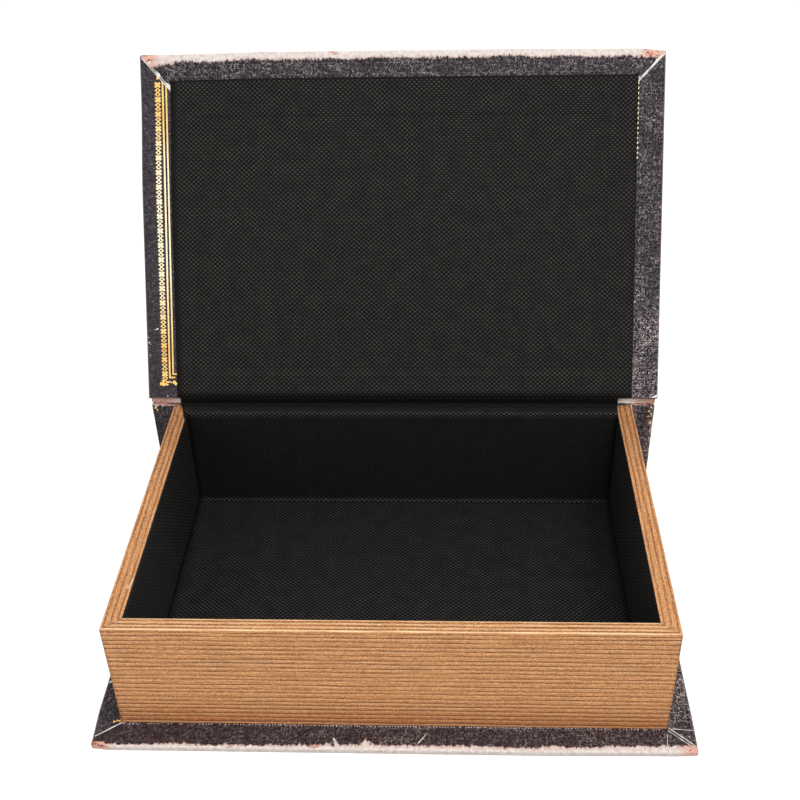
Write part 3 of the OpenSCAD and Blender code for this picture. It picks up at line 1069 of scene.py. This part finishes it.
class Figures:
    """Flat figures a hair proud of one surface, collected into one piece."""

    def __init__(self, place, level=0.0, rise=PROUD):
        self.shape, self.place = Shape(), place
        self.low, self.high = level - 0.04, level + rise

    def plate(self, outline, lift=0.0, red=0.0, pale=0.0):
        self.shape.prism(outline, self.place, self.low, self.high + lift, red, pale)

    def stroke(self, start, end, width, end_width=None, lift=0.0):
        a, b = np.array(start, float), np.array(end, float)
        across = np.array([a[1] - b[1], b[0] - a[0]]) / np.hypot(*(b - a)) / 2
        wide = across * width
        thin = across * (width if end_width is None else end_width)
        self.plate([a + wide, a - wide, b - thin, b + thin], lift)

    def blob(self, centre, radius, lobes=0, cut=0.0, points=12, lift=0.0, red=0.0):
        angles = np.arange(points) * 2 * pi / points
        reach = radius * (1.0 - cut + cut * np.cos(lobes * angles))
        x, v = centre[0] + reach * np.cos(angles), centre[1] + reach * np.sin(angles)
        self.plate(np.stack([x, v], -1), lift, red)

    def chips(self, places, cut=0.3, points=9, slope=0.0):
        """Small ragged spots, given as x, v and size. With a slope, those that meet differ in rise."""
        for x, v, size in places:
            self.blob((x, v), size, 3, cut, points, slope * (x + 130.0))

    def rosette(self, centre):
        """Four petals about a red heart."""
        x, v = centre
        self.blob(centre, 1.0, points=10)
        for side in (-1, 1):
            for end in (-1, 1):
                petal = (x + 0.9 * side, v + 0.8 * end)
                self.blob(petal, 0.67, points=8, lift=0.006 + 0.001 * side + 0.002 * end)
        self.blob(centre, 0.4, points=8, lift=0.014, red=1.0)

    def links(self, centre, along):
        """Two open lozenges in a row, tip to tip, with a dot at each side corner."""
        ahead = np.array(along) / np.hypot(*along)
        aside = np.array([-ahead[1], ahead[0]])
        for end in (-1, 1):
            middle = np.array(centre) + 1.06 * end * ahead
            for side in (-1, 1):
                corner = middle + 1.02 * side * aside
                for tip in (-1, 1):
                    lift = 0.002 * tip + 0.001 * side + 0.004 * end
                    self.stroke(corner, middle + 1.1 * tip * ahead, 0.6, 0.5, lift)
                self.blob(corner, 0.5, points=8, lift=0.01)

    def band(self, start, end, count):
        """Rosettes from one place to another, linked by open lozenges."""
        a, b = np.array(start, float), np.array(end, float)
        for k in range(count):
            self.rosette(a + (b - a) * k / (count - 1))
            if k < count - 1:
                self.links(a + (b - a) * (k + 0.5) / (count - 1), b - a)

    def make(self, name, material, body):
        finished(self.shape.make(name, material, 0.0005, False), body, "cover_wrap")


def lid_inner_gilt():
    """The part of the gilt border that is turned in at the lid's left, with a tangle at its foot,
    and its trace at the right."""
    gilt = Figures(on_lid, COVER_T)
    gilt.band((-126.5, 13.4), (-126.8, 164.9), 21)
    gilt.stroke((-123.9, 11.0), (-124.15, 166.6), 0.86)
    gilt.stroke((-123.5, 11.4), (-121.0, 11.4), 0.76, lift=0.004)
    gilt.stroke((-122.05, 12.8), (-122.3, 164.2), 0.78)
    gilt.stroke((-121.7, 13.2), (-120.1, 13.2), 0.7, lift=0.004)
    gilt.chips([(-126.6, 168.4, 1.0)])
    gilt.links((-126.5, 9.9), (0.0, 1.0))
    gilt.chips([(-128.6, 8.0, 1.0), (-127.6, 9.4, 0.9), (-127.2, 7.7, 1.1), (-126.0, 7.6, 0.6),
                (-124.9, 8.9, 0.7), (-125.2, 7.4, 0.5), (-123.9, 9.0, 0.55), (-122.9, 8.6, 0.45),
                (-121.6, 8.9, 1.0), (-120.7, 8.0, 0.9)], 0.12, 12, 0.001)
    for k in range(16):
        v = 163.2 - 2.5 * k
        gilt.plate([(122.03, v), (122.5, v - 0.05), (122.45, v - 1.1), (122.02, v - 1.15)], pale=0.9)
    gilt.make("lid_inner_gilt", GILT, "lid")


def lid_outer_gilt():
    """Gilt frame on the lid's outer face: two pairs of rules with a band of rosettes between them."""
    gilt = Figures(lambda x, v, w: on_lid(-x, v, -w), 0.0)
    for inset, width in ((9.0, 1.2), (11.2, 0.7), (19.4, 0.7), (21.6, 1.2)):
        x, low, high = LID.half - inset, inset + 3.0, LID.depth - inset
        corners = np.array([(-x, low), (x, low), (x, high), (-x, high)])
        for a, b in zip(corners, np.roll(corners, -1, 0)):
            out = (b - a) / np.hypot(*(b - a)) * width / 2
            gilt.stroke(a - out, b + out, width, lift=0.003 * (a[0] != b[0]))
    x, low, high = LID.half - 15.3, 18.3, LID.depth - 15.3
    gilt.band((-x, low), (x, low), 33)
    gilt.band((x, high), (-x, high), 33)
    step = (high - low) / 19
    for side in (-x, x):
        gilt.band((side, low + step), (side, high - step), 18)
        for v in (low + step / 2, high - step / 2):
            gilt.links((side, v), (0.0, 1.0))
    gilt.make("lid_outer_gilt", GILT, "lid")


def on_spine_end(x, v, w):
    """The inner face of the spine's turned-in ends, with v as the height."""
    return together(x, SPINE_Y - w, v)


def spine_gilt():
    """Gilt bands across the spine, and the traces of the border at its turned-in ends."""
    gilt = Figures(lambda x, v, w: together(-x, BACK_Y + w, v))
    for middle in (-104.0, -62.0, -20.0, 20.0, 62.0, 104.0):
        for x in (middle - 3.4, middle + 3.4):
            gilt.stroke((x, 5.5), (x, 61.0), 1.1)
        gilt.band((middle, 9.0), (middle, 57.6), 7)
    gilt.make("spine_gilt", GILT, "case")
    ends = Figures(on_spine_end)
    for x, z, size in ((133.0, 62.3, 0.6), (132.2, 59.6, 0.8), (133.4, 58.2, 0.7), (132.1, 56.3, 0.6),
                       (133.8, 56.6, 0.6), (133.5, 52.2, 1.1), (133.8, 47.5, 0.5), (-133.2, 61.6, 0.9),
                       (-132.4, 60.2, 0.6)):
        shard = ((-1.0, -0.5), (0.2, 1.0), (1.0, -0.3), (0.0, -0.8))
        ends.plate([(x + size * across, z + size * up) for across, up in shard], red=0.7)
    ends.make("spine_end_gilt", GILT, "case")
    base = Figures(at_base, COVER_T)
    base.chips([(-126.6, -76.5, 0.85), (-125.3, -75.9, 0.7), (-124.2, -76.1, 0.75), (-123.9, -75.2, 0.4),
                (-123.5, -73.6, 0.45), (-123.3, -71.2, 0.35)], slope=0.001)
    base.make("base_gilt", GILT, "case")


def lid_raw_edges():
    """White cut edges of the wrap at the lid's mitres, with small chips beside them."""
    lid = Figures(on_lid, COVER_T, RAW_PROUD)
    lid.stroke((-134.9, 178.9), (-119.0, 160.6), 0.5, 0.42)
    lid.stroke((-131.6, 176.5), (-118.9, 161.9), 0.34, 0.3, lift=0.01)
    lid.stroke((135.0, 179.0), (121.9, 163.5), 1.1, 0.85)
    for flake in (((-127.9, 172.5), (-125.4, 170.6), (-125.1, 169.2), (-126.2, 169.0)),
                  ((-123.2, 166.6), (-120.1, 164.8), (-119.6, 161.4), (-121.4, 163.6)),
                  ((-131.2, 176.9), (-129.9, 175.7), (-130.2, 175.0), (-131.0, 175.6)),
                  ((130.8, 175.6), (132.4, 175.2), (131.4, 173.3), (130.1, 173.5)),
                  ((122.1, 166.3), (123.4, 165.4), (122.3, 163.0)),
                  ((131.2, 0.8), (135.2, 0.8), (135.3, 2.5), (133.9, 1.6))):
        lid.plate(flake, 0.02)
    lid.chips([(-129.8, 37.4, 0.75), (-130.9, 37.0, 0.4), (-134.8, 32.9, 0.5), (-134.4, 30.1, 0.6),
               (-133.6, 29.2, 0.35), (-134.0, 23.0, 0.35), (-125.3, 1.4, 0.5), (-131.8, 52.0, 0.25)])
    lid.make("lid_raw_edges", RAW, "lid")


def base_raw_edges():
    """The same on the back cover, with flecks of glue along the foot of the tray."""
    base = Figures(at_base, COVER_T, RAW_PROUD)
    base.stroke((-134.0, -85.4), (-122.8, -76.9), 0.5, 0.5)
    base.chips([(-122.0, -77.3, 0.5), (-119.4, -77.9, 0.35), (-117.7, -77.5, 0.4), (-115.5, -78.0, 0.35),
                (-123.3, -74.5, 0.3), (-119.0, -77.2, 0.3)])
    base.plate([(-128.8, -81.2), (-126.0, -79.2), (-124.6, -78.0), (-127.6, -79.9)], 0.01)
    base.plate([(-134.3, -54.4), (-133.2, -54.0), (-133.0, -52.6), (-133.9, -52.9)])
    base.stroke((134.4, -87.2), (123.4, -76.2), 0.5, 0.45)
    base.stroke((133.0, -87.6), (122.9, -77.6), 0.34, 0.26, lift=0.01)
    base.stroke((122.4, -80.0), (121.4, -86.9), 0.3, 0.2)
    base.stroke((125.3, -76.6), (134.6, -77.6), 0.3, 0.2, lift=0.02)
    base.stroke((12.1, -86.2), (15.4, -81.5), 0.5, 0.2)
    base.plate([(-26.0, -83.9), (-25.2, -84.3), (-22.8, -88.0), (-25.0, -88.0)])
    pick = random.Random(23)
    for k in range(FLECKS):
        x = -118.6 + FLECK_STEP * k + pick.uniform(-0.3, 0.3)
        dense = abs(x) < 60.0
        size = pick.uniform(0.28, 0.44) * (1.0 if dense else 0.85)
        if pick.random() < (0.92 if dense else 0.7):
            base.chips([(x, TRAY_Y - 0.42 - pick.uniform(0.0, 0.25), size)])
    base.make("base_raw_edges", RAW, "case")


def tray_raw_edges():
    """A bare edge on the right rim, and flakes down the spine's right end."""
    rim = Figures(together, RIM_TOP, TRAY_RAW_PROUD)
    rim.stroke((122.35, 83.4), (122.45, 86.6), 0.3, 0.45)
    rim.make("rim_raw_edge", RAW, "case")
    spine = Figures(on_spine_end, 0.0, TRAY_RAW_PROUD)
    spine.chips([(134.0, 51.8, 0.6), (133.6, 50.7, 0.4), (134.1, 48.6, 0.5), (133.9, 46.4, 0.65),
                 (134.2, 44.9, 0.5), (133.9, 42.2, 0.55), (134.1, 39.6, 0.45)], 0.35)
    spine.make("spine_raw_edge", RAW, "case")


# Bare boards, walls and pins

CORE_GAP = WRAP_T + 0.02


def core_outline(cover):
    """A cover's board in plan, a hair inside the wrap."""
    half, low, high = cover.half - CORE_GAP, CORE_GAP, cover.depth - CORE_GAP
    side = np.linspace(low, high, SIDE_STEPS + 1)
    front = np.linspace(-half, half, FRONT_STEPS + 1)[1:-1]
    return [(-half, v) for v in side] + [(x, high) for x in front] + [(half, v) for v in side[::-1]]


def make_cores():
    """The covers' boards, drawn in at the fore corners like the wrap round them."""
    base = [(x, BACK_Y - v) for x, v in core_outline(BASE)]
    for name, outline, place, body in (("lid", core_outline(LID), on_lid, "lid"),
                                       ("base", base, at_base, "case")):
        shape = Shape()
        shape.prism(outline, place, CORE_GAP, COVER_T - CORE_GAP)
        finished(shape.make(name + "_core", GREY_BOARD, crisp=35.0), body, "grey_board", name + "_board")


def dress_frame():
    """Materials of the CAD nodes that stay."""
    looks = dict.fromkeys(("front_wall", "rear_wall", "left_wall", "right_wall"), FIBRE_BOARD)
    looks.update(spine_board=GREY_BOARD, corner_pins=STEEL)
    for name, material in looks.items():
        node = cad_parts[name]
        node.data.materials.clear()
        node.data.materials.append(material)


# Camera, light and floor

CAMERA_AT = (0.02481, -0.41109, 0.41967)
CAMERA_LENS = 51.44
CAMERA_DOWN, CAMERA_ROLL, CAMERA_TURN = (radians(a) for a in (35.293, 1.627, 2.912))


def make_camera():
    data = bpy.data.cameras.new("photo_camera")
    data.sensor_width, data.lens = 36.0, CAMERA_LENS
    data.clip_start, data.clip_end = 0.01, 20.0
    place = Matrix.Translation(CAMERA_AT)
    for angle, axis in ((CAMERA_TURN, "Z"), (pi / 2 - CAMERA_DOWN, "X"), (-CAMERA_ROLL, "Z")):
        place = place @ Matrix.Rotation(angle, 4, axis)
    camera = new_object("photo_camera", data)
    camera.matrix_world = place
    bpy.context.scene.camera = camera


def make_lamp(name, place, target, size, power):
    data = bpy.data.lights.new(name, "AREA")
    data.shape, data.size, data.energy = "SQUARE", size, power
    lamp = new_object(name, data)
    lamp.location = place
    lamp.rotation_euler = (Vector(target) - Vector(place)).to_track_quat("-Z", "Y").to_euler()


def shown_as_white(n):
    """1 for what the camera sees, by itself, in a reflection or through something, and else 0."""
    path = n.tree.nodes.new("ShaderNodeLightPath").outputs
    glossy = n.sum("MAXIMUM", path["Is Camera Ray"], path["Is Glossy Ray"])
    return n.sum("MAXIMUM", glossy, path["Is Transmission Ray"])


AMBIENT = 0.42
FLOOR_GLOW = 0.78
FLOOR_SHADE = 0.42
FLOOR_REACH = 3.0
FLOOR_DROP = 0.0002
WHITE = (1.0, 1.0, 1.0, 1.0)


def make_world():
    """White to the eye, and dimmer as a light."""
    world = bpy.data.worlds.new("studio")
    bpy.context.scene.world = world
    n = Nodes(world, "Background")
    level = n.add("ShaderNodeMapRange", {"Value": shown_as_white(n), "To Min": AMBIENT})
    n.fill({"Color": WHITE, "Strength": level})


def make_floor():
    n = new_material("pale_floor")
    n.fill({"Base Color": (*[FLOOR_SHADE] * 3, 1.0), "Roughness": 1.0, "Specular IOR Level": 0.0,
            "Emission Color": WHITE, "Emission Strength": n.times(shown_as_white(n), FLOOR_GLOW)})
    corners = [(x * FLOOR_REACH, y * FLOOR_REACH, 0) for x, y in ((-1, -1), (1, -1), (1, 1), (-1, 1))]
    mesh = bpy.data.meshes.new("floor")
    mesh.from_pydata(corners, [], [(0, 1, 2, 3)])
    mesh.materials.append(n.owner)
    floor = new_object("floor", mesh)
    floor.location.z = -FLOOR_DROP


make_camera()
make_world()
make_floor()
make_lamp("key", (0.35, -0.75, 1.55), (0.0, 0.0, 0.05), 1.0, 24.0)
make_lamp("fill", (-0.9, -1.2, 0.8), (0.0, 0.0, 0.05), 1.2, 6.0)
make_covers()
make_spine()
make_fold()
make_pages()
make_linings()
make_hinge_cloth()
lid_inner_gilt()
lid_outer_gilt()
spine_gilt()
lid_raw_edges()
base_raw_edges()
tray_raw_edges()
make_cores()
dress_frame()

bpy.context.scene.view_settings.view_transform = "Standard"
